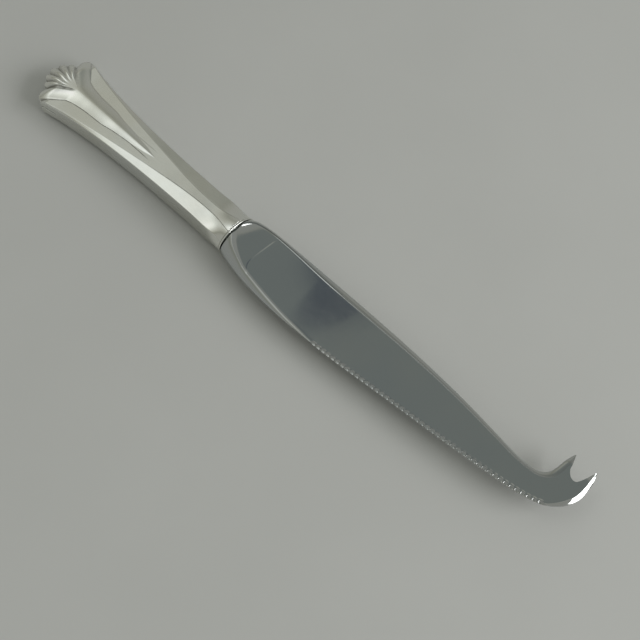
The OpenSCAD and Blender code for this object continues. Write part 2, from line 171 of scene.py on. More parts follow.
def lerp(a, b, t):
    return a + (b - a) * t


def ease(t):
    t = min(max(t, 0), 1)
    return t * t * (3 - 2 * t)


def bezier(a, b, c, t):
    return (1 - t) ** 2 * a + 2 * t * (1 - t) * b + t * t * c


def lookup(x, rows):
    return float(np.interp(x, *zip(*rows)))


def smooth(rows, u):
    """Catmull-Rom curve through the rows of a table."""
    last = len(rows) - 1
    i = min(int(u), last - 1)
    f = u - i
    p0, p1, p2, p3 = (rows[min(max(k, 0), last)] for k in (i - 1, i, i + 1, i + 2))
    bend = 2 * p0 - 5 * p1 + 4 * p2 - p3 + f * (3 * p1 - p0 - 3 * p2 + p3)
    return p1 + f / 2 * (p2 - p0 + f * bend)


ARC_STEPS = 4
MOST_OF_RUN = 0.45
RUN_SHARES = (0.05, 0.3, 0.7, 0.95)


def corner_arc(before, corner, after, radius):
    """A rounded corner between two straight runs, as a short curve."""
    corner = np.asarray(corner, float)
    ends = []
    for other in (before, after):
        side = np.asarray(other, float) - corner
        ends.append(corner + side * min(radius / max(np.linalg.norm(side), TINY), MOST_OF_RUN))
    return [bezier(ends[0], corner, ends[1], k / ARC_STEPS) for k in range(ARC_STEPS + 1)]


def flat_run(start, end):
    """Points inside a straight run, close to its ends so that the corners shade crisply."""
    return [lerp(np.asarray(start, float), np.asarray(end, float), s) for s in RUN_SHARES]


# Meshes

def make_piece(name, points, faces, material, layers=None):
    """A mesh object at the origin, with its place in its points. Its layers are values or
    directions that the points carry."""
    mesh = bpy.data.meshes.new(name)
    mesh.from_pydata([tuple(p) for p in points], [], faces)
    mesh.materials.append(material)
    mesh.polygons.foreach_set("use_smooth", [True] * len(mesh.polygons))
    for layer, values in (layers or {}).items():
        values = np.asarray(values, np.float32)
        kind, key = ("FLOAT_VECTOR", "vector") if values.ndim == 2 else ("FLOAT", "value")
        mesh.attributes.new(layer, kind, "POINT").data.foreach_set(key, values.ravel())
    piece = bpy.data.objects.new(name, mesh)
    bpy.context.scene.collection.objects.link(piece)
    return piece


def make_prism(name, plan, half_t, material):
    """A straight prism on a plan that runs counterclockwise, to cut with or to join on."""
    count = len(plan)
    points = [(*p, z) for z in (-half_t, half_t) for p in plan]
    faces = [tuple(reversed(range(count))), tuple(range(count, 2 * count))]
    faces += [(k, (k + 1) % count, (k + 1) % count + count, k + count) for k in range(count)]
    return make_piece(name, place(points), faces, material)


def grid_faces(rows, cols, base=0, turned=False, closed=False):
    """Faces of a grid of points, row after row."""
    faces = []
    for i in range(rows - 1):
        for j in range(cols if closed else cols - 1):
            a, b = base + i * cols + j, base + i * cols + (j + 1) % cols
            quad = (a, b, b + cols, a + cols)
            faces.append(quad[::-1] if turned else quad)
    return faces


def rim_faces(rows, cols, base):
    """Faces that join the rims of two grids of the same size."""
    last = (rows - 1) * cols
    walk = [(j + 1, j) for j in range(cols - 1)]
    walk += [(i * cols, (i + 1) * cols) for i in range(rows - 1)]
    walk += [(last + j, last + j + 1) for j in range(cols - 1)]
    walk += [((i + 2) * cols - 1, (i + 1) * cols - 1) for i in range(rows - 1)]
    return [(a, b, b + base, a + base) for a, b in walk]


def weld(piece, distance=1e-7):
    """Joins points that lie on each other and drops faces with no area."""
    mesh = bmesh.new()
    mesh.from_mesh(piece.data)
    bmesh.ops.remove_doubles(mesh, verts=mesh.verts, dist=distance)
    bmesh.ops.dissolve_degenerate(mesh, edges=mesh.edges, dist=distance)
    mesh.to_mesh(piece.data)
    mesh.free()


def keep_result(piece, modifier):
    """Makes what a modifier gives the plain mesh of its piece, and removes the modifier."""
    piece.update_tag()
    bpy.context.view_layer.update()
    shown = piece.evaluated_get(bpy.context.evaluated_depsgraph_get())
    mesh = bpy.data.meshes.new_from_object(shown)
    piece.modifiers.remove(modifier)
    old = piece.data
    piece.data = mesh
    bpy.data.meshes.remove(old)
    mesh.name = piece.name


def combine(piece, other, operation):
    """Joins another solid to a piece, or cuts it out of the piece."""
    modifier = piece.modifiers.new("combine", "BOOLEAN")
    modifier.operation = operation
    modifier.object = other
    modifier.solver = "EXACT"
    keep_result(piece, modifier)
    bpy.data.objects.remove(other)


# Handle

PANEL_SHARES = (0.36, 0.235, 0.24, 0.33, 0.47, 0.6, 0.72, 0.82, 0.9, 0.95, 0.975)
CREASE_SHARES = [
    (0, 0.02), (0.12, 0.19), (0.25, 0.31), (0.46, 0.47), (0.57, 0.62), (0.66, 0.66), (0.79, 0.7),
    (0.925, 0.83), (1, 1),
]
CREST_SHARES = [(0, 0.26), (0.55, 0.24), (0.8, 0.16), (1, 0.07)]
FAN_STEPS = 30
SLOPE_STEPS = 12


def half_width(x):
    """Half of the handle's width, from the neck to the wide butt and to the mouth."""
    neck = NECK_W / 2
    back = max(0, -x - MOUTH_FLARE_L) / (HANDLE_L - MOUTH_FLARE_L)
    front = max(0, x + MOUTH_FLARE_L) / MOUTH_FLARE_L
    flare = FLARE_SHARE * back ** 2 + (1 - FLARE_SHARE) * back ** FLARE_END_POWER
    return neck + (BUTT_W / 2 - neck) * flare + (MOUTH_W / 2 - neck) * front ** 2


def side_z(x):
    """Height of the corner between the bevel and the side."""
    return lerp(MOUTH_SIDE_H / 2, BUTT_SIDE_H / 2, (-x / HANDLE_L) ** SIDE_POWER)


def panel_z(x):
    """Height of the flat panel."""
    return lerp(MOUTH_PANEL_T / 2, BUTT_PANEL_T / 2, -x / HANDLE_L)


def section(x, inset):
    """A quarter section of the handle from the centre line to the seam, as rows of y and z."""
    w = half_width(x) - inset
    top = panel_z(x) - inset
    side = side_z(x) - inset / 2
    b = w * smooth(PANEL_SHARES, -x / HANDLE_L * (len(PANEL_SHARES) - 1))
    ridge_place = max(0, (RIDGE_L - x + SHELL_X) / RIDGE_L)
    c = RIDGE_HALF_W * lookup(ridge_place, CREASE_SHARES) if ridge_place > 0 else 0
    rise = RIDGE_RISE * c / RIDGE_HALF_W
    k = min(RIDGE_HALF_W * lookup(ridge_place, CREST_SHARES), b / 2)
    foot = min(max(c, FOOT_PAST_CREST * k), FOOT_LIMIT * b)

    def ridge(y):
        return (y, top + (rise * (1 - (y / c) ** RIDGE_POWER) if y < c else 0))

    crest = [ridge(k * j / FAN_STEPS) for j in range(FAN_STEPS + 1)]
    slope = [ridge(lerp(k, foot, j / SLOPE_STEPS)) for j in range(1, SLOPE_STEPS)]
    foot_arc = corner_arc(slope[-1], ridge(foot), (b, top), FOOT_R)
    panel_arc = corner_arc((foot, top), (b, top), (w, side), CORNER_R)
    side_arc = corner_arc((b, top), (w, side), (w, 0), CORNER_R)
    points = crest + slope + foot_arc + flat_run(foot_arc[-1], panel_arc[0]) + panel_arc
    points += flat_run(panel_arc[-1], side_arc[0]) + side_arc
    points += flat_run(side_arc[-1], (w, 0)) + [(w, 0)]
    return mouth_round(np.array(points), x, inset)


def mouth_round(points, x, inset):
    """Rounds the facets into the oval mouth over the last stretch before the collar."""
    round_l = ROUND_L if inset == 0 else ROUND_L + SPIGOT_L
    share = ease(1 + (x + LIP_L) / round_l) ** ROUND_POWER
    angle = np.arctan2(points[:, 1], points[:, 0])
    ray = np.stack([np.cos(angle), np.sin(angle)], 1)
    oval = 1 / np.hypot(*(ray / (MOUTH_W / 2 - inset, MOUTH_T / 2 - inset)).T)
    reach = lerp(np.hypot(*points.T), oval, share)
    return reach[:, None] * ray


SECTION_COLS = len(section(SHELL_X, 0))
# Columns at the middle of the foot's corner and at the start of those of the panel and the side
FOOT_COL = FAN_STEPS + SLOPE_STEPS + ARC_STEPS // 2
PANEL_COL = FOOT_COL + ARC_STEPS + len(RUN_SHARES) + 1
SIDE_TOP_COL = SECTION_COLS - len(RUN_SHARES) - 2
SHOULDER_PLACES = [(FAN_STEPS, 0), (FOOT_COL, 0.95), (SIDE_TOP_COL, 1)]
RIM_BLEND_COLS = 6
BUTT_ROWS = 26
BUTT_ROW_POWER = 1.3
WALL_ROWS = 7
PLAIN_ROWS = 90
PLAIN_ROW_POWER = 1.5


def rim_point(fan):
    """The rim of the shell before its scallops are cut, at a share of the fan."""
    angle = FLUTE_FAN * fan
    r = SHELL_R * (1 - FAN_FADE * fan)
    return np.array([FLUTE_X - r * math.cos(angle), r * math.sin(angle)])


def butt_outline(j):
    """Plan point of column j on the outline of the butt, and its share of the fan or -1."""
    if j <= FAN_STEPS:
        return rim_point(j / FAN_STEPS), j / FAN_STEPS
    valley = rim_point(1) + SCALLOP_H * np.array([math.cos(FLUTE_FAN), -math.sin(FLUTE_FAN)])
    bulge = np.array([valley[0] - SHOULDER_BULGE, SHOULDER_BULGE_PLACE * BUTT_CORNER[1]])
    return bezier(valley, bulge, BUTT_CORNER, lookup(j, SHOULDER_PLACES)), -1


def butt_point(j, v, w, inset, goal):
    """A point of the butt: column j, a share v of the way to the point of the shell. The wall of
    the rim is v = 0, and w climbs it from the seam to the dome."""
    rim, fan = butt_outline(j)
    to_point = rim - np.array([SHELL_X, 0])
    lean = RIM_LEAN * (1 - math.cos(math.pi / 2 * w))
    rim = rim - to_point / np.linalg.norm(to_point) * (inset + lean)
    end = np.array([SHELL_X, goal[j][0]])
    if fan >= 0:
        plan = bezier(rim, np.array([FLUTE_X, FLUTE_CURVE * rim[1]]), end, v)
    else:
        plan = lerp(rim, end, v)
    shoulder_z = SHOULDER_H_SHARE * BUTT_SIDE_H / 2
    beyond = (j - FAN_STEPS + RIM_BLEND_COLS / 2) / RIM_BLEND_COLS
    rim_z = lerp(SHELL_RIM_H, shoulder_z, ease(beyond)) - inset / 2
    dome = math.sin(math.pi / 2 * min(1, v / DOME_L_SHARE))
    top = lerp(rim_z, goal[min(j, SIDE_TOP_COL)][1], dome) * math.sin(math.pi / 2 * w)
    drop = max(0, j - SIDE_TOP_COL) / (SECTION_COLS - 1 - SIDE_TOP_COL)
    lobe = min(max((j - FAN_STEPS) / (FOOT_COL - FAN_STEPS), 0), 1)
    if inset == 0:
        top += SHOULDER_LOBE_H * math.sqrt(max(0, 1 - (2 * lobe - 1) ** 2)) * (1 - v) ** 2 * w
    return (plan[0], plan[1], top * (1 - drop))


def half_surface(inset):
    """Rows of points of one side of the handle's half, with the shares that place the flutes."""
    goal = section(SHELL_X, inset)
    cols = range(SECTION_COLS)
    steps = [(0, w / WALL_ROWS) for w in range(WALL_ROWS)]
    steps += [((v / BUTT_ROWS) ** BUTT_ROW_POWER, 1) for v in range(BUTT_ROWS)]
    rows = [[butt_point(j, v, w, inset, goal) for j in cols] for v, w in steps]
    for i in range(PLAIN_ROWS + 1):
        x = lerp(-LIP_L, SHELL_X, (1 - i / PLAIN_ROWS) ** PLAIN_ROW_POWER)
        rows.append([(x, y, z) for y, z in section(x, inset)])
    fan = np.full((len(rows), SECTION_COLS), -1.0)
    fan[:len(steps)] = [butt_outline(j)[1] for j in cols]
    reach = np.ones_like(fan)
    reach[:len(steps)] = [[v if w == 1 else w - 1] for v, w in steps]
    return np.array(rows), fan, reach


def both_sides(rows, flip=False):
    """Mirrors the columns of one side to the other side of the centre line."""
    mirrored = rows[:, :0:-1].copy()
    if flip:
        mirrored[..., 1] *= -1
    return np.concatenate([mirrored, rows], 1)


# Columns that keep tarnish and painted shade, and how much: the feet of the ridge and the edges of the
# panel
CREASE_MARKS = {FOOT_COL: 1, FOOT_COL - 1: 0.6, FOOT_COL + 1: 0.6, PANEL_COL - 1: 1, PANEL_COL: 0.7}
# A painted shadow line along the crease under the rim of the shell
UNDER_SHELL_SHADOW_LINE = {FAN_STEPS: 1, FAN_STEPS + 1: 0.7}
UNDER_SHELL_FADE = 5
# The far side keeps less of the painted shade than the near side
FAR_TARNISH_AND_SHADE = 0.35
# Tarnish and painted shade in the valleys of the flutes
VALLEY_TARNISH_AND_SHADE = 0.8
VALLEY_POWER = 1.5
VALLEY_END = 0.65
VALLEY_FADE = 2
# A painted dark reflection on the wall of the shell's rim
WALL_PAINTED_REFLECTION = 0.5
# The marks stay off the wall of the rim. Along the handle, those of the feet end with the ridge,
# and those of the panel grow towards the mouth
RIM_CLEAR = 0.02
FOOT_FADE_L = 3
PANEL_LINE_X = -45
PANEL_LINE_L = 20
PANEL_LINE_LEAST = 0.3


def column_marks(marks, rows):
    """The marks of named columns, the same in every row."""
    return np.tile(np.array([marks.get(j, 0) for j in range(SECTION_COLS)], float), (rows, 1))


def tarnish_and_shade_marks(outer, fan, reach):
    """How much tarnish and painted shade each point of the outer skin keeps, from 0 to 1."""
    x = outer[:, -1:, 0]
    marks = column_marks(CREASE_MARKS, len(outer))
    marks[:, :FOOT_COL + ARC_STEPS // 2 + 1] *= np.clip((RIDGE_L + SHELL_X - x) / FOOT_FADE_L, 0, 1)
    along_panel = np.clip((x - PANEL_LINE_X) / PANEL_LINE_L, PANEL_LINE_LEAST, 1)
    marks[:, PANEL_COL - 1:PANEL_COL + 1] *= along_panel
    crease = np.where(reach < RIM_CLEAR, 0, both_sides(marks))
    fade = np.where(reach < 0, 0, np.clip(UNDER_SHELL_FADE * (1 - reach), 0, 1))
    # Painted shadow line under the shell's rim
    under_shell = both_sides(column_marks(UNDER_SHELL_SHADOW_LINE, len(outer)))
    crease = np.maximum(crease, under_shell * fade)
    # The far side keeps less of the painted shade than the near side
    crease *= np.where(outer[..., 1] > 0, FAR_TARNISH_AND_SHADE, 1)
    valley = (1 - np.abs(np.cos(np.pi * LOBES * fan))) ** VALLEY_POWER
    fade = np.clip(VALLEY_FADE * (VALLEY_END - reach), 0, 1)
    # The wall of the rim gets a painted dark reflection
    valley = np.where(reach < 0, WALL_PAINTED_REFLECTION, valley) * fade
    return np.maximum(crease, np.where(fan < 0, 0, VALLEY_TARNISH_AND_SHADE * valley))


def handle_half(name, material, under):
    """One closed half shell of the handle. The flutes are raised by their own node tree."""
    outer, fan, reach = half_surface(0)
    inner = half_surface(WALL)[0]
    outer, inner = both_sides(outer, True), both_sides(inner, True)
    fan, reach = both_sides(fan), both_sides(reach)
    rows, cols = fan.shape
    count = rows * cols
    points = np.concatenate([outer.reshape(-1, 3), inner.reshape(-1, 3)])
    faces = grid_faces(rows, cols) + grid_faces(rows, cols, count, True)
    faces += rim_faces(rows, cols, count)
    if under:
        points[:, 2] *= -1
    else:
        faces = [face[::-1] for face in faces]
    side = np.where(outer[..., 1].ravel() < 0, -1, 1)
    angle = fan.ravel() * FLUTE_FAN
    outward = np.stack([-np.cos(angle), side * np.sin(angle), 0 * angle], 1) @ LAY_TURN.T
    up = LAY_TURN @ np.array([0, 0, -1 if under else 1])
    layers = {
        # The crease layer holds tarnish and painted shade
        "crease": np.tile(tarnish_and_shade_marks(outer, fan, reach).ravel(), 2),
        "fan": np.tile(fan.ravel(), 2),
        "reach": np.tile(reach.ravel(), 2),
        "raised": np.repeat([1.0, 0.0], count),
        "outward": np.tile(outward, (2, 1)),
        "up": np.tile(up, (2 * count, 1)),
    }
    return make_piece(name, place(points), faces, material, layers)


# Collar

RING_SIDES = 120
BEAD_STEPS = 12


def lip_profile():
    """The lip of the collar as rows of x and height over the mouth: a groove, then the bead."""
    back = -LIP_L + FIT_GAP
    rows = [(back, -GROOVE_H - GROOVE_STEP), (back + GROOVE_BEVEL, -GROOVE_H)]
    rows.append((-BEAD_W - GROOVE_END, -GROOVE_H))
    for k in range(BEAD_STEPS + 1):
        a = math.pi * k / BEAD_STEPS
        x = -BEAD_W / 2 * (1 + math.cos(a)) - BEAD_SETBACK
        rows.append((x, (BEAD_H + BEAD_SINK) * math.sin(a) - BEAD_SINK))
    return rows + [(0, -LIP_STEP)]


def collar_piece(material):
    """A spigot, the lip, and the slot that the tang passes through. The lip is worn flat below."""
    spigot = (MOUTH_W / 2 - WALL - FIT_GAP, MOUTH_T / 2 - WALL - FIT_GAP)
    rings = [(-LIP_L - SPIGOT_L, *spigot), (-LIP_L + FIT_GAP, *spigot)]
    rings += [(x, MOUTH_W / 2 + h, MOUTH_T / 2 + h) for x, h in lip_profile()]
    slot = (TANG_W / 2 + FIT_GAP, TANG_T / 2 + FIT_GAP)
    angles = [2 * math.pi * i / RING_SIDES for i in range(RING_SIDES)]
    points = []
    for x, a, b in rings:
        points += [(x, a * math.cos(t), b * max(math.sin(t), -WORN_HEIGHT)) for t in angles]
    for x in (0, -LIP_L - SPIGOT_L):
        points += [(x, *on_rectangle(t, *slot)) for t in angles]
    faces = grid_faces(len(rings) + 3, RING_SIDES, closed=True)
    faces = [tuple(k % len(points) for k in face) for face in faces]
    return make_piece("collar_ring", place(points), faces, material)


def on_rectangle(angle, half_y, half_z):
    """Point of a rectangle in the direction of an angle."""
    y, z = math.cos(angle), math.sin(angle)
    k = min(half_y / max(abs(y), TINY), half_z / max(abs(z), TINY))
    return y * k, z * k


# The blade by its stations, from the bolster to the prongs: the places of its cutting side and of
# its spine as shares of its length and width, and the widths of the flank and of the stripe along
# the spine as shares of theirs
BLADE_ROWS = np.array([
    (0, -0.36, 0, 0.36, 1, 2.2), (0.018, -0.4, 0.018, 0.405, 0.72, 1.1),
    (0.048, -0.442, 0.054, 0.447, 0.52, 0.65), (0.09, -0.487, 0.096, 0.463, 0.42, 0.55),
    (0.15, -0.516, 0.15, 0.471, 0.34, 0.6), (0.225, -0.524, 0.225, 0.477, 0.2, 0.75),
    (0.285, -0.51, 0.29, 0.482, 0.09, 0.85), (0.325, -0.497, 0.345, 0.484, 0.05, 0.9),
    (0.4, -0.46, 0.42, 0.482, 0.05, 0.85), (0.48, -0.405, 0.49, 0.476, 0.05, 0.75),
    (0.58, -0.337, 0.58, 0.457, 0.05, 0.68), (0.683, -0.27, 0.675, 0.42, 0.05, 0.62),
    (0.787, -0.193, 0.763, 0.365, 0.05, 0.6), (0.867, -0.125, 0.83, 0.318, 0.05, 0.6),
    (0.924, -0.042, 0.867, 0.314, 0.05, 0.65), (0.957, 0.048, 0.894, 0.35, 0.09, 0.8),
    (0.984, 0.215, 0.911, 0.447, 0.22, 0.9), (0.998, 0.42, 0.917, 0.576, 0.24, 0.95),
    (0.999, 0.628, 0.92, 0.733, 0.22, 0.85), (0.995, 0.796, 0.9235, 0.838, 0.18, 0.6),
    (0.988, 0.922, 0.927, 0.916, 0.08, 0.3),
])
# The notch of the hook, as the blade's places
NOTCH_SHARES = np.array([
    (0.926, 0.98), (0.937, 0.78), (0.942, 0.67), (0.9535, 0.592),
    (0.9675, 0.586), (0.977, 0.7), (0.983, 0.83), (0.99, 0.98),
])

STATIONS = len(BLADE_ROWS) - 1
BOLSTER_STATIONS = 3
RUN_OUT_STATIONS = (2.5, 3.05)
SERRATED = (7, 15)
HOOK_STATION = 14
HOOK_STATIONS = 3
TIP_STATION = 18

# Heights of the blade, in millimetres, and how they fade along it
TAPER_L = 42
FLANK_RISE = 3.15
FLANK_POWER = 1.6
SPINE_RISE = 1.45
BOLSTER_FLANK_RISE = 1.15
BOLSTER_FLANK_POWER = 1.3
BOLSTER_TOP = 4.75
BOLSTER_SOFT = 0.42
BOLSTER_HOLLOW = 0.35
EDGE_SHARE = 0.35
HOOK_EDGE_SHARE = 0.2
HOOK_SIDE_SHARE = 0.45
HOOK_FLATNESS = 0.85
TIP_THINNING = 0.6
ARC_END = math.radians(50)

# The dish ends at a raised rim, and the bolster runs out into it at a fine line
RIM_H = 0.35
RIM_W = 0.6
RIM_END_SHARE = 0.15
RIM_FADE = 3
RIM_SPREAD = 0.15
FAR_RIM_W = 0.36
FAR_RIM_SHARE = 0.3
RUN_OUT_L = 9.5
RUN_OUT_R = 15.7
RUN_OUT_CORNER = 2.4
RUN_OUT_CORNER_W = 4
RUN_OUT_LINE_H = 0.05
RUN_OUT_LINE_W = 0.35
RUN_OUT_LINE_FADE = 6
FLANK_CREASE_R = 0.12
STRIPE_CREASE_R = 0.08
CREASE_SIDE_LIMIT = 0.45
CREASE_FACE_LIMIT = 0.2
SHARP_ANGLE = math.radians(35)

# Columns of the upper face: the flank, its crest, the dish, the far crest and the stripe
FLANK_STEPS = 9
FACE_STEPS = 30
STRIPE_STEPS = 8
CREASE_STEPS = (-1, -0.7, -0.4, -0.15, 0.15, 0.4, 0.7, 1)
CUT_STEPS = 5
NEAR_CREST = (FLANK_STEPS + 3, FLANK_STEPS + 4)
FAR_CREST_COL = FLANK_STEPS + len(CREASE_STEPS) + FACE_STEPS - 1
FAR_CREST = range(FAR_CREST_COL, FAR_CREST_COL + len(CREASE_STEPS) + 1)
UPPER_COLS = FAR_CREST_COL + len(CREASE_STEPS) + STRIPE_STEPS
END_CROWDING = 0.8
OUTLINE_SAMPLES = 801
BOLSTER_ROWS = 110
RUN_OUT_ROWS = 40
ROWS_PER_SCALLOP = 10
HOOK_ROWS = 90
NOTCH_STEPS = 60
# The line of the run-out gets a faint painted highlight
LINE_MARK = 0.25
LINE_MARK_W = 0.12
LINE_MARK_END = 1.4


def outline_place(share):
    return np.array([SHOULDER_GAP + share[0] * (BLADE_L - SHOULDER_GAP), share[1] * BLADE_W])


def bolster_fit(u):
    """How much wider the bolster is than its table, to come out level with the collar."""
    start = MOUTH_W / 2 + BEAD_H - BOLSTER_STEP - BLADE_ROWS[0][3] * BLADE_W
    return start * max(0, 1 - u / BOLSTER_STATIONS)


def cut_point(u):
    return outline_place(smooth(BLADE_ROWS, u)[:2]) - np.array([0, bolster_fit(u)])


def spine_point(u):
    return outline_place(smooth(BLADE_ROWS, u)[2:4]) + np.array([0, bolster_fit(u)])


def flank_width(u):
    return FLANK_W * smooth(BLADE_ROWS, u)[4]


def stripe_width(u):
    return STRIPE_W * smooth(BLADE_ROWS, u)[5]


def arc_place(a):
    """Share of the width of a rounded side at an angle up from its edge."""
    return (1 - math.cos(a)) / (1 - math.cos(ARC_END))


def arc_rise(t):
    """Share of the height of a rounded side at a share of its width."""
    a = math.acos(1 - min(max(t, 0), 1) * (1 - math.cos(ARC_END)))
    return math.sin(a) / math.sin(ARC_END)


def run_out_end(d):
    """Where the run-out ends along the blade, by the depth past the crease of the flank: straight
    across, with a rounded corner at the flank."""
    return RUN_OUT_L + RUN_OUT_CORNER * max(0, 1 - d / RUN_OUT_CORNER_W) ** 2


def blade_heights(u, start, width):
    """Height of the upper side of one section, as a function of the depth from the cutting side,
    with the depths of its two creases."""
    x = float(start[0])
    taper = max(0, 1 - x / TAPER_L)
    near = max(0, RUN_OUT_L - x)
    hook = ease((u - HOOK_STATION) / HOOK_STATIONS)
    tip = 1 - TIP_THINNING * ease((u - TIP_STATION) / (STATIONS - TIP_STATION))
    flank = flank_width(u)
    stripe = stripe_width(u)
    edge_z = tip * lerp(EDGE_SHARE, HOOK_EDGE_SHARE, hook) * EDGE_T
    side_z = tip * lerp(EDGE_T / 2, HOOK_SIDE_SHARE * SPINE_T, hook)
    spine_z = tip * SPINE_T / 4
    border_z = side_z + FLANK_RISE * taper ** FLANK_POWER
    border_z += BOLSTER_FLANK_RISE * (near / RUN_OUT_L) ** BOLSTER_FLANK_POWER
    stripe_z = tip * SPINE_T / 2 + SPINE_RISE * taper ** 2 + near ** 2 / (2 * RUN_OUT_R)
    sink = RIM_H * lerp(RIM_END_SHARE, 1, ease(RIM_FADE * taper)) * (1 - hook)
    far = width - stripe

    def height(d):
        if d < flank:
            t = d / flank
            return lerp(edge_z, border_z, lerp(arc_rise(t), t, HOOK_FLATNESS * hook))
        if d > far:
            return lerp(spine_z, stripe_z, arc_rise((width - d) / stripe))
        s = (d - flank) / (far - flank)
        out = max(0, 1 - (d - flank) / (RIM_W + RIM_SPREAD * near))
        far_out = max(0, 1 - (far - d) / FAR_RIM_W)
        dip = sink * (1 - out ** 2 - FAR_RIM_SHARE * far_out ** 2)
        off_line = (run_out_end(d - flank) - x) / RUN_OUT_LINE_W
        line = RUN_OUT_LINE_H * math.exp(-off_line ** 2) * min(1, (1 - s) * RUN_OUT_LINE_FADE)
        hollow = BOLSTER_HOLLOW * near / RUN_OUT_L * 4 * s * (1 - s)
        return lerp(border_z, stripe_z, s) - dip + line - hollow

    return height, (flank, far)


def round_crease(height, crease, radius, d):
    """What rounding a crease adds to the height close to it."""
    step = 0.01
    before = (height(crease) - height(crease - step)) / step
    after = (height(crease + step) - height(crease)) / step
    near = max(0, radius - abs(d - crease))
    return (after - before) * near ** 2 / (4 * radius)


def rounded_top(z):
    """Rounds over what would stand higher than the collar."""
    over = max(0, z - BOLSTER_TOP)
    return min(z, BOLSTER_TOP) + BOLSTER_SOFT * (1 - math.exp(-over / BOLSTER_SOFT))


def ease_ends(t):
    """Even steps that crowd a little towards both ends."""
    return lerp(t, (1 - math.cos(math.pi * t)) / 2, END_CROWDING)


def blade_profile(u, start, width):
    """Upper half of one section, as share of the way from the cutting side and height."""
    height, (border, stripe) = blade_heights(u, start, width)
    most = CREASE_FACE_LIMIT * (stripe - border)
    border_r = min(FLANK_CREASE_R, CREASE_SIDE_LIMIT * border, most)
    stripe_r = min(STRIPE_CREASE_R, CREASE_SIDE_LIMIT * (width - stripe), most)
    side = border - border_r
    places = [side * arc_place(ARC_END * k / FLANK_STEPS) for k in range(FLANK_STEPS)]
    places += [border + border_r * k for k in CREASE_STEPS]
    first, last = border + border_r, stripe - stripe_r
    places += [lerp(first, last, ease_ends(k / FACE_STEPS)) for k in range(1, FACE_STEPS)]
    places += [stripe + stripe_r * k for k in CREASE_STEPS]
    for k in range(STRIPE_STEPS - 1, -1, -1):
        places.append(width - (width - stripe - stripe_r) * arc_place(ARC_END * k / STRIPE_STEPS))
    points = []
    for d in places:
        z = height(d) + round_crease(height, border, border_r, d)
        z += round_crease(height, stripe, stripe_r, d)
        points.append((d / width, rounded_top(z)))
    return points


def blade_ring(u, start, width):
    """One closed section: the upper face, the lower face and the cutting edge between them."""
    upper = blade_profile(u, start, width)
    lower = [(s, -z) for s, z in upper[::-1]]
    edge_z = upper[0][1]
    cut = [(0, lerp(-edge_z, edge_z, k / (CUT_STEPS + 1))) for k in range(1, CUT_STEPS + 1)]
    return upper + lower + cut


def blade_marks(u, start, width, depth, n, run):
    """How much point n of a section moves with the stone, is dulled (by grinding on the scallops, and as
    painted shade on the far crest), and gets a painted highlight.
    """
    col = min(n, 2 * UPPER_COLS - 1 - n)
    on_upper = n < UPPER_COLS or n >= 2 * UPPER_COLS
    band = max(0, 1 - depth / GRIND_W) if on_upper else 0
    ground = band if run >= 0 else 0
    # The far crest is darkened and dulled as a painted shade line
    if col in FAR_CREST:
        ground = 1
    past_flank = depth - flank_width(u)
    on_line = 0
    if past_flank > 0 and depth < width - LINE_MARK_END:
        on_line = max(0, 1 - abs(start[0] - run_out_end(past_flank)) / LINE_MARK_W)
    # The near crest and the run-out line get a painted highlight
    painted_highlight = 1 if col in NEAR_CREST else LINE_MARK * on_line
    return band, ground, painted_highlight


def station_rows():
    """Stations of all rows, with the run along the serrated edge in whole scallops, or -1."""
    fine = np.linspace(*SERRATED, OUTLINE_SAMPLES)
    line = np.array([cut_point(u) for u in fine])
    run = np.concatenate([[0], np.cumsum(np.linalg.norm(np.diff(line, axis=0), axis=1))])
    scallops = int(run[-1] / SERRATION_PITCH)
    marks = np.arange(scallops * ROWS_PER_SCALLOP + 1) * SERRATION_PITCH / ROWS_PER_SCALLOP
    serrated = np.interp(marks, run, fine)
    before = np.linspace(0, SERRATED[0], BOLSTER_ROWS)[:-1]
    before = np.unique(np.concatenate([before, np.linspace(*RUN_OUT_STATIONS, RUN_OUT_ROWS)]))
    after = np.linspace(serrated[-1], STATIONS, HOOK_ROWS)[1:]
    stations = np.concatenate([before, serrated, after])
    runs = np.concatenate([np.full(len(before), -1), marks, np.full(len(after), -1)])
    return stations, runs


def blade_piece(material):
    """The forging without its tang: bolster, dished blade and hook. Its points carry what its
    scallops need: the run along the edge, the climb, the way inward and the band."""
    stations, runs = station_rows()
    points = []
    # Of these layers, the last two hold the ground finish with painted shade on the far crest, and a
    # painted highlight
    layers = {"run": [], "climb": [], "inward": [], "band": [], "ground": [], "edge": []}
    for u, run in zip(stations, runs):
        start = cut_point(u)
        across = spine_point(u) - start
        width = float(np.linalg.norm(across))
        inward = LAY_TURN @ np.append(across / width, 0)
        run_here = (run + TINY) * MM if run >= 0 else -1
        for n, (s, z) in enumerate(blade_ring(u, start, width)):
            points.append((*(start + across * s), z))
            marks = blade_marks(u, start, width, s * width, n, run)
            values = (run_here, (z + EDGE_T / 2) * MM, inward, *marks)
            for layer, value in zip(layers.values(), values):
                layer.append(value)
    rows = len(stations)
    cols = 2 * UPPER_COLS + CUT_STEPS
    faces = grid_faces(rows, cols, turned=True, closed=True)
    faces.append(tuple(range(cols)))
    faces.append(tuple(reversed(range((rows - 1) * cols, rows * cols))))
    return make_piece("blade_forging", place(points), faces, material, layers)


def notch_cutter(material):
    """The tool that cuts the notch between the prongs of the hook."""
    last = len(NOTCH_SHARES) - 1
    stations = [last * k / NOTCH_STEPS for k in range(NOTCH_STEPS + 1)]
    plan = [outline_place(smooth(NOTCH_SHARES, u)) for u in stations]
    return make_prism("notch_cutter", plan, MOUTH_T / 2, material)


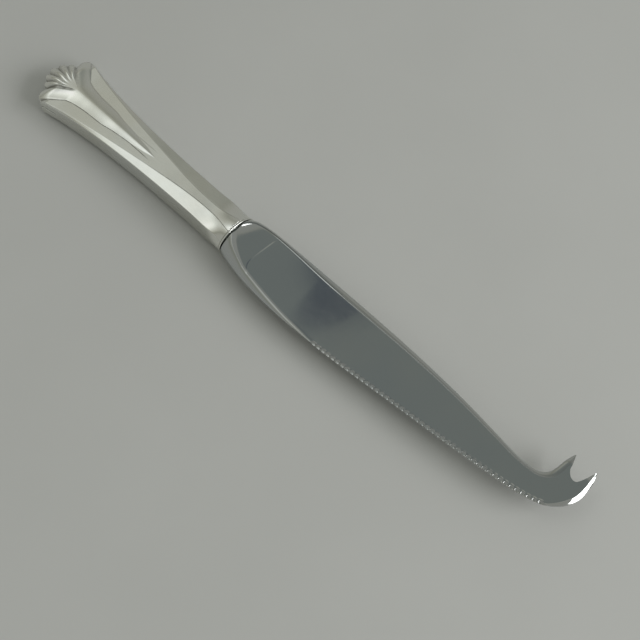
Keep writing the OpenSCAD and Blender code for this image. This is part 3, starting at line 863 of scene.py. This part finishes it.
def tang_piece(material):
    """The tang tapers to its end and has notches that the cement grips."""
    root = SHOULDER_GAP + TANG_ROOT_L
    end_w = TANG_END_SHARE * TANG_W / 2
    depth = TANG_W / 2 - NOTCH_W / 2
    one_side = [(root, TANG_W / 2)]
    for share in TANG_NOTCH_SHARES:
        side = lerp(TANG_W / 2, end_w, (root + TANG_L * share) / (root + TANG_L))
        front, back = NOTCH_W / 2 - TANG_L * share, -NOTCH_W / 2 - TANG_L * share
        one_side += [(front, side), (front, depth), (back, depth), (back, side)]
    one_side.append((-TANG_L, end_w))
    plan = one_side + [(x, -y) for x, y in reversed(one_side)]
    return make_prism("tang", plan, TANG_T / 2, material)


# Nodes

def add_node(kind, values, tree=None, **settings):
    """Adds a node, sets its options, and gives its inputs a value or a link. It goes into the tree
    that its links come from, or else into a given tree."""
    linked = [value for value in values.values() if isinstance(value, bpy.types.NodeSocket)]
    tree = linked[0].id_data if linked else tree
    node = tree.nodes.new(kind)
    for key, value in settings.items():
        setattr(node, key, value)
    for key, value in values.items():
        if value in linked:
            tree.links.new(value, node.inputs[key])
        else:
            node.inputs[key].default_value = value
    return node.outputs


def calc(operation, a, b=0.0, c=0.0):
    return add_node("ShaderNodeMath", {0: a, 1: b, 2: c}, operation=operation)[0]


def product(first, *others):
    for other in others:
        first = calc("MULTIPLY", first, other)
    return first


def clamped(value, low, high, to_low=0.0, to_high=1.0):
    """Maps a range of values smoothly to another range and holds it there."""
    values = {"Value": value, "From Min": low, "From Max": high, "To Min": to_low, "To Max": to_high}
    return add_node("ShaderNodeMapRange", values, interpolation_type="SMOOTHSTEP")["Result"]


# Node trees that shape a piece

def shape_tree(name, sizes):
    """A geometry node tree, the sockets of its inputs, and its sizes by their identifiers."""
    tree = bpy.data.node_groups.new(name, "GeometryNodeTree")
    for way in ("INPUT", "OUTPUT"):
        tree.interface.new_socket("Geometry", in_out=way, socket_type="NodeSocketGeometry")
    values = {}
    for label, value in sizes.items():
        socket = tree.interface.new_socket(label, in_out="INPUT", socket_type="NodeSocketFloat")
        values[socket.identifier] = value
    return tree, tree.nodes.new("NodeGroupInput").outputs, values


def carried(tree, name, kind="FLOAT"):
    """A value or a direction that each point of the mesh carries."""
    node = add_node("GeometryNodeInputNamedAttribute", {"Name": name}, tree, data_type=kind)
    return node["Attribute"]


def offset_along(name, distance):
    """An offset of a distance in a direction that the mesh carries."""
    values = {0: carried(distance.id_data, name, "FLOAT_VECTOR"), "Scale": distance}
    return add_node("ShaderNodeVectorMath", values, operation="SCALE")[0]


def end_tree(geometry, selection, offset, material):
    """Moves the chosen points, makes everything real and sets the material."""
    values = {"Geometry": geometry, "Selection": selection, "Offset": offset}
    geometry = add_node("GeometryNodeSetPosition", values)["Geometry"]
    geometry = add_node("GeometryNodeRealizeInstances", {"Geometry": geometry})["Geometry"]
    values = {"Geometry": geometry, "Material": material}
    geometry = add_node("GeometryNodeSetMaterial", values)["Geometry"]
    add_node("NodeGroupOutput", {"Geometry": geometry})


def apply_tree(piece, tree, values):
    """Runs a tree on a piece with its sizes and keeps the mesh that it makes."""
    modifier = piece.modifiers.new(tree.name, "NODES")
    modifier.node_group = tree
    for identifier, value in values.items():
        modifier[identifier] = value
    keep_result(piece, modifier)


def fluted_shell_tree(material):
    """Raises the flutes of the shell and cuts the scallops of its rim."""
    tree, sizes, values = shape_tree("fluted_shell", {
        "Flute Height": FLUTE_H * MM, "Scallop Depth": SCALLOP_H * MM, "Lobes": LOBES,
    })
    fan, reach = carried(tree, "fan"), carried(tree, "reach")
    lobe = calc("ABSOLUTE", calc("COSINE", product(fan, sizes["Lobes"], math.pi)))
    valley = calc("SUBTRACT", 1.0, lobe)
    inside = calc("MAXIMUM", reach, 0.0)
    fade = calc("SMOOTH_MIN", calc("DIVIDE", inside, FLUTE_L_SHARE), 1.0, FLUTE_BLEND)
    fade = calc("SUBTRACT", 1.0, fade)
    growth = calc("MULTIPLY_ADD", inside, FLUTE_GROWTH, FLUTE_AT_RIM)
    end_fall = calc("MINIMUM", growth, 1.0)
    on_wall = calc("ADD", calc("MINIMUM", reach, 0.0), 1.0)
    raised = carried(tree, "raised")
    height = product(lobe, sizes["Flute Height"], fade, end_fall, on_wall, raised)
    off_rim = calc("POWER", calc("SUBTRACT", 1.0, inside), 2.0)
    depth = product(valley, sizes["Scallop Depth"], off_rim, -1.0)
    moves = {0: offset_along("up", height), 1: offset_along("outward", depth)}
    offset = add_node("ShaderNodeVectorMath", moves, operation="ADD")[0]
    end_tree(sizes["Geometry"], calc("GREATER_THAN", fan, -0.5), offset, material)
    return tree, values


def ground_scallops_tree(material):
    """Grinds the scallops of the cutting edge: each column of the ground face runs at the tilt of
    the stone, from the lower corner of the edge to the upper face."""
    tree, sizes, values = shape_tree("ground_scallops", {
        "Pitch": SERRATION_PITCH * MM, "Depth": SERRATION_DEPTH * MM, "Stone Radius": STONE_R * MM,
        "Slant": 1 / math.tan(GRIND_TILT),
    })
    run, pitch, radius = carried(tree, "run"), sizes["Pitch"], sizes["Stone Radius"]
    across = calc("SUBTRACT", calc("FRACT", calc("DIVIDE", run, pitch)), 0.5)
    across = product(across, pitch)
    left = calc("SUBTRACT", product(radius, radius), product(across, across))
    sag = calc("SUBTRACT", radius, calc("SQRT", calc("MAXIMUM", left, 0.0)))
    bite = calc("SUBTRACT", sizes["Depth"], calc("DIVIDE", sag, math.sin(GRIND_TILT)))
    bite = calc("ADD", bite, product(carried(tree, "climb"), sizes["Slant"]))
    bite = product(calc("MAXIMUM", bite, 0.0), carried(tree, "band"))
    serrated = calc("GREATER_THAN", run, 0.0)
    end_tree(sizes["Geometry"], serrated, offset_along("inward", bite), material)
    return tree, values


# Effects that several materials use

def noise(position, scale, detail=2.0):
    values = {"Vector": position, "Scale": scale, "Detail": detail}
    return add_node("ShaderNodeTexNoise", values)[0]


def fine_scratches(position, scale, stretch, heading, cover):
    """Hair lines that run mostly one way, in patches."""
    values = {"Vector": position, "Angle": heading}
    turned = add_node("ShaderNodeVectorRotate", values, rotation_type="Z_AXIS")[0]
    along = calc("DIVIDE", scale, stretch)
    sizes = add_node("ShaderNodeCombineXYZ", {0: along, 1: scale, 2: scale})[0]
    drawn = add_node("ShaderNodeVectorMath", {0: turned, 1: sizes}, operation="MULTIPLY")[0]
    off_line = calc("ABSOLUTE", calc("SUBTRACT", noise(drawn, 1.0, 1.0), 0.5))
    line = clamped(off_line, 0.004, 0.02, 1.0, 0.0)
    patches = noise(position, product(scale, 0.06))
    edge = calc("MULTIPLY_ADD", cover, -0.5, 0.75)
    return product(line, clamped(calc("SUBTRACT", patches, edge), 0.0, 0.12))


def patchy_marks(position, mark, scale, amount):
    """Breaks up a mark that the mesh carries, such as tarnish and painted shade in a crease or a painted
    highlight on a crest.
    """
    patches = clamped(noise(position, scale, 3.0), 0.3, 0.6, 0.65, 1.0)
    return calc("MINIMUM", product(mark, patches, amount), 1.0)


def handled_film(position, scale, clear, smudged):
    """Soft smudges that dull a polish here and there, as a value between two others."""
    wide = noise(position, scale, 3.0)
    fine = noise(position, product(scale, 9.0))
    smudge = clamped(calc("MULTIPLY_ADD", fine, 0.25, wide), 0.45, 0.85)
    return calc("MULTIPLY_ADD", smudge, calc("SUBTRACT", smudged, clear), clear)


def hand_polish(position, scale, ripples):
    """The faint waviness that a polishing wheel leaves in a flat face."""
    fine = noise(position, product(scale, 5.0), 1.0)
    return calc("MULTIPLY_ADD", fine, ripples, noise(position, scale, 1.0))


def fine_specks(position, scale, size, cover):
    """Small round specks: dust on metal, and grains in cement and stone."""
    cells = add_node("ShaderNodeTexVoronoi", {"Vector": position, "Scale": scale})
    chance = add_node("ShaderNodeSeparateColor", {0: cells["Color"]})[0]
    there = calc("LESS_THAN", chance, cover)
    return product(clamped(cells["Distance"], product(size, 0.5), size, 1.0, 0.0), there)


# Each effect with its output and its inputs after the position
EFFECTS = [
    (fine_scratches, "Scratches", ("Scale", "Stretch", "Heading", "Cover")),
    (patchy_marks, "Share", ("Mark", "Scale", "Amount")),
    (handled_film, "Roughness", ("Scale", "Clear", "Smudged")),
    (hand_polish, "Height", ("Scale", "Ripples")),
    (fine_specks, "Specks", ("Scale", "Size", "Cover")),
]


def build_effects():
    """Makes a node group of each effect."""
    for make, result, labels in EFFECTS:
        group = bpy.data.node_groups.new(make.__name__, "ShaderNodeTree")
        group.interface.new_socket("Position", in_out="INPUT", socket_type="NodeSocketVector")
        for label in labels:
            group.interface.new_socket(label, in_out="INPUT", socket_type="NodeSocketFloat")
        group.interface.new_socket(result, in_out="OUTPUT", socket_type="NodeSocketFloat")
        given = group.nodes.new("NodeGroupInput").outputs
        made = make(given["Position"], *(given[label] for label in labels))
        add_node("NodeGroupOutput", {result: made})


def effect(position, name, **values):
    """Places an effect in a material, with its own values."""
    values["Position"] = position
    return add_node("ShaderNodeGroup", values, node_tree=bpy.data.node_groups[name])[0]


# Materials

SILVER = (0.81, 0.82, 0.795, 1)
SILVER_WARM = (0.78, 0.78, 0.73, 1)
# Dark colour of tarnish and painted shade on the silver, and of dust specks
TARNISH_AND_SHADE = (0.1, 0.095, 0.075, 1)
STEEL = (0.57, 0.58, 0.565, 1)
STEEL_COOL = (0.54, 0.56, 0.56, 1)
# A painted highlight colour for the near crest and the run-out line
STEEL_PAINTED_HIGHLIGHT = (0.9, 0.92, 0.92, 1)
# Ground steel on the scallops, also painted shade along the far crest
STEEL_GROUND_AND_SHADE = (0.34, 0.35, 0.35, 1)
CEMENT = (0.16, 0.13, 0.11, 1)
CEMENT_PALE = (0.3, 0.26, 0.22, 1)
FLOOR = (0.6, 0.605, 0.59, 1)
FLOOR_SHADE = (0.58, 0.585, 0.57, 1)

# Depths of the bumps, in metres
POLISH_DEPTH = 0.00003
SILVER_SCRATCH_DEPTH = -0.0000008
STEEL_SCRATCH_DEPTH = -0.0000005
CEMENT_LUMP_DEPTH = 0.0002
CEMENT_GRAIN_DEPTH = 0.00012
FLOOR_GRAIN_DEPTH = 0.00001

# The colour sockets of a mix node: its inputs and its output
MIX_A, MIX_B, MIXED = 6, 7, 2


def mixed(share, a, b):
    return add_node("ShaderNodeMix", {0: share, MIX_A: a, MIX_B: b}, data_type="RGBA")[MIXED]


def new_material(name, metallic=0):
    """A material, its tree and shader, and the position on the piece that its patterns follow."""
    material = bpy.data.materials.new(name)
    material.use_nodes = True
    tree = material.node_tree
    shader = tree.nodes["Principled BSDF"]
    shader.inputs["Metallic"].default_value = metallic
    return material, tree, shader, tree.nodes.new("ShaderNodeTexCoord").outputs["Object"]


def surface(shader, colour, roughness, bumps):
    """Feeds a shader. The bumps are heights with their depths, coarse ones first."""
    under = {}
    for height, depth in bumps:
        under["Normal"] = add_node("ShaderNodeBump", {"Height": height, "Distance": depth, **under})[0]
    for label, value in {"Base Color": colour, "Roughness": roughness, **under}.items():
        shader.id_data.links.new(value, shader.inputs[label])


def marked(tree, name):
    """A mark that the mesh carries, such as how deep in a crease a point lies."""
    return add_node("ShaderNodeAttribute", {}, tree, attribute_name=name)["Fac"]


def silver_material():
    material, tree, shader, position = new_material("polished_silver", metallic=1)
    crease = marked(tree, "crease")
    # Tarnish and painted shade in the creases, the flute valleys and on the rim's wall
    tarnish_and_shade = effect(position, "patchy_marks", Mark=crease, Scale=700, Amount=0.85)
    scratches = effect(position, "fine_scratches", Scale=2600, Stretch=9, Heading=0.5, Cover=0.45)
    film = effect(position, "handled_film", Scale=90, Clear=0.13, Smudged=0.2)
    polish = effect(position, "hand_polish", Scale=150, Ripples=0.08)
    specks = effect(position, "fine_specks", Scale=1100, Size=0.12, Cover=0.02)
    warm = clamped(noise(position, 60.0), 0.35, 0.65)
    colour = mixed(warm, SILVER, SILVER_WARM)
    colour = mixed(calc("MAXIMUM", tarnish_and_shade, product(specks, 0.4)), colour, TARNISH_AND_SHADE)
    rough = calc("MULTIPLY_ADD", scratches, 0.06, film)
    rough = calc("MULTIPLY_ADD", tarnish_and_shade, 0.3, rough)
    surface(shader, colour, rough, [(polish, POLISH_DEPTH), (scratches, SILVER_SCRATCH_DEPTH)])
    return material


def steel_material():
    material, tree, shader, position = new_material("mirror_steel", metallic=1)
    lines = effect(position, "fine_scratches", Scale=5200, Stretch=40, Heading=0.06, Cover=0.9)
    scratches = effect(position, "fine_scratches", Scale=1500, Stretch=14, Heading=-0.9, Cover=0.2)
    film = effect(position, "handled_film", Scale=55, Clear=0.05, Smudged=0.12)
    polish = effect(position, "hand_polish", Scale=60, Ripples=0.03)
    specks = effect(position, "fine_specks", Scale=900, Size=0.1, Cover=0.02)
    # A painted highlight along the near crest and the run-out line
    painted_highlight = effect(position, "patchy_marks", Mark=marked(tree, "edge"), Scale=900, Amount=0.8)
    # Ground finish on the scallops, and painted shade along the far crest
    ground = clamped(marked(tree, "ground"), 0.05, 0.4)
    cool = clamped(noise(position, 35.0), 0.35, 0.65)
    colour = mixed(cool, STEEL, STEEL_COOL)
    colour = mixed(painted_highlight, colour, STEEL_PAINTED_HIGHLIGHT)
    colour = mixed(product(ground, 0.45), colour, STEEL_GROUND_AND_SHADE)
    colour = mixed(product(specks, 0.5), colour, TARNISH_AND_SHADE)
    marks = calc("MAXIMUM", product(lines, 0.5), scratches)
    rough = calc("MULTIPLY_ADD", marks, 0.08, film)
    rough = calc("MULTIPLY_ADD", ground, 0.16, rough)
    surface(shader, colour, rough, [(polish, POLISH_DEPTH), (marks, STEEL_SCRATCH_DEPTH)])
    return material


def cement_material():
    material, _, shader, position = new_material("dark_cement")
    grains = effect(position, "fine_specks", Scale=1400, Size=0.45, Cover=0.35)
    dust = effect(position, "fine_specks", Scale=4200, Size=0.4, Cover=0.25)
    rough = effect(position, "handled_film", Scale=300, Clear=0.75, Smudged=0.95)
    lumps = noise(position, 500.0, 6.0)
    colour = mixed(clamped(lumps, 0.4, 0.7, 0.0, 0.6), CEMENT, CEMENT_PALE)
    colour = mixed(product(dust, 0.6), colour, CEMENT_PALE)
    bumps = [(lumps, CEMENT_LUMP_DEPTH), (grains, CEMENT_GRAIN_DEPTH)]
    surface(shader, colour, rough, bumps)
    return material


def floor_material():
    """Pale fine plaster. It can be looked through from below, so that the underside shows."""
    material, tree, shader, position = new_material("pale_floor")
    shader.inputs["Specular IOR Level"].default_value = 0.2
    grains = effect(position, "fine_specks", Scale=2400, Size=0.4, Cover=0.3)
    rough = effect(position, "handled_film", Scale=30, Clear=0.85, Smudged=0.95)
    cloudy = clamped(noise(position, 14.0, 5.0), 0.3, 0.7)
    surface(shader, mixed(cloudy, FLOOR, FLOOR_SHADE), rough, [(grains, FLOOR_GRAIN_DEPTH)])
    from_below = add_node("ShaderNodeNewGeometry", {}, tree)["Backfacing"]
    tree.links.new(calc("SUBTRACT", 1.0, from_below), shader.inputs["Alpha"])
    return material


# Stage

FLOOR_HALF = 4
# Lamps: direction in degrees, distance, width and height in metres, and power in watts
LAMPS = [("key", (22, 28), 1.3, (1.0, 0.6), 9.5), ("fill", (200, 70), 1.2, (0.5, 0.5), 0.06)]
# The room: its light by the cosine of the angle from the middle of the bright side
BRIGHT_SIDE = (175, 66)
ROOM_LEVELS = [
    (0.0, (0.34, 0.35, 0.33)), (0.72, (0.34, 0.345, 0.32)), (0.81, (0.32, 0.325, 0.29)),
    (0.85, (0.25, 0.255, 0.22)), (0.885, (0.34, 0.345, 0.3)), (0.91, (0.41, 0.415, 0.37)),
    (0.93, (0.45, 0.455, 0.41)), (0.955, (0.51, 0.52, 0.47)), (0.972, (0.61, 0.63, 0.59)),
    (0.985, (0.78, 0.81, 0.76)), (0.992, (0.94, 0.97, 0.92)), (1.0, (0.97, 1.0, 0.96)),
]
# The dark ceiling that the flat of the blade mirrors, and a darker patch in it
DARK_SIDE = (115, 68)
DARK_SPAN = (0.935, 0.965)
DARK = (0.21, 0.23, 0.22, 1)
DARK_PATCH = (140, 61)
DARK_PATCH_SPAN = (0.9962, 0.9983)
DARKEST = (0.11, 0.125, 0.14, 1)


def build_floor(material):
    size, z = FLOOR_HALF, CAD_BOX[0].z
    corners = [(-size, -size, z), (size, -size, z), (size, size, z), (-size, size, z)]
    floor = make_piece("floor", corners, [(0, 1, 2, 3)], material)


def direction(azimuth, elevation):
    """Unit vector at an azimuth from +X towards +Y and an elevation, in degrees."""
    a, e = math.radians(azimuth), math.radians(elevation)
    return Vector((math.cos(a) * math.cos(e), math.sin(a) * math.cos(e), math.sin(e)))


def soft_lamp(name, angles, distance, size, power):
    """A wide lamp that faces the middle of the knife."""
    data = bpy.data.lights.new(name, "AREA")
    data.shape = "RECTANGLE"
    data.size, data.size_y = size
    data.energy = power
    lamp = bpy.data.objects.new(name, data)
    bpy.context.scene.collection.objects.link(lamp)
    away = direction(*angles)
    lamp.location = (CAD_BOX[0] + CAD_BOX[1]) / 2 + away * distance
    lamp.rotation_mode = "QUATERNION"
    lamp.rotation_quaternion = away.to_track_quat("Z", "Y")


def build_world():
    """An even room with one wide bright side and a dark ceiling, which the polished faces mirror."""
    world = bpy.data.worlds.new("studio")
    bpy.context.scene.world = world
    world.use_nodes = True
    tree = world.node_tree
    view_way = tree.nodes.new("ShaderNodeTexCoord").outputs["Generated"]

    def towards(angles):
        values = {0: view_way, 1: direction(*angles)}
        return add_node("ShaderNodeVectorMath", values, operation="DOT_PRODUCT")["Value"]

    spread = tree.nodes.new("ShaderNodeValToRGB")
    ramp = spread.color_ramp
    ramp.interpolation = "EASE"
    for cosine, colour in ROOM_LEVELS:
        ramp.elements.new(cosine).color = (*colour, 1)
    ramp.elements.remove(ramp.elements[0])
    ramp.elements.remove(ramp.elements[-1])
    tree.links.new(towards(BRIGHT_SIDE), spread.inputs[0])
    room = mixed(clamped(towards(DARK_SIDE), *DARK_SPAN), spread.outputs[0], DARK)
    room = mixed(clamped(towards(DARK_PATCH), *DARK_PATCH_SPAN), room, DARKEST)
    tree.links.new(room, tree.nodes["Background"].inputs["Color"])


# Camera, as the photograph was taken, in the knife's axes: its place in millimetres, and its
# heading, tilt and roll in degrees from where it looks straight down
CAMERA_PLACE = (142.2, -113.7, 291.8)
CAMERA_TURNS = ((43.27, "Z"), (27.65, "X"), (1.76, "Z"))
SENSOR = 36
FRAME_PX = 640
FOCAL_PX = 1145.5
CLIP_START = 0.01


def build_camera():
    data = bpy.data.cameras.new("camera")
    data.sensor_width = SENSOR
    data.lens = FOCAL_PX / FRAME_PX * SENSOR
    data.clip_start = CLIP_START
    camera = bpy.data.objects.new("camera", data)
    bpy.context.scene.collection.objects.link(camera)
    turned = LAY.to_3x3()
    for angle, axis in CAMERA_TURNS:
        turned = turned @ Matrix.Rotation(math.radians(angle), 3, axis)
    camera.rotation_mode = "QUATERNION"
    camera.rotation_quaternion = turned.to_quaternion()
    camera.location = Vector(place([CAMERA_PLACE])[0])
    bpy.context.scene.camera = camera


def build_handle(silver):
    tree, values = fluted_shell_tree(silver)
    for name, node, under in (("half_upper", "handle_upper", False), ("half_lower", "handle_lower", True)):
        half = handle_half(name, silver, under)
        apply_tree(half, tree, values)
        weld(half)
        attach(half, "root")
        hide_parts(node)


def build_collar(silver):
    collar = collar_piece(silver)
    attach(collar, "root")
    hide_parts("collar")


def build_blade(steel):
    blade = blade_piece(steel)
    apply_tree(blade, *ground_scallops_tree(steel))
    combine(blade, notch_cutter(steel), "DIFFERENCE")
    combine(blade, tang_piece(steel), "UNION")
    blade.data.set_sharp_from_angle(angle=SHARP_ANGLE)
    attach(blade, "root")
    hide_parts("blade")


def build_scene():
    build_camera()
    build_effects()
    silver = silver_material()
    frame["nodes"]["cement_fill"].material_slots[0].material = cement_material()
    build_handle(silver)
    build_collar(silver)
    build_blade(steel_material())
    build_floor(floor_material())
    build_world()
    for lamp in LAMPS:
        soft_lamp(*lamp)
    bpy.context.scene.view_settings.view_transform = "Standard"


build_scene()
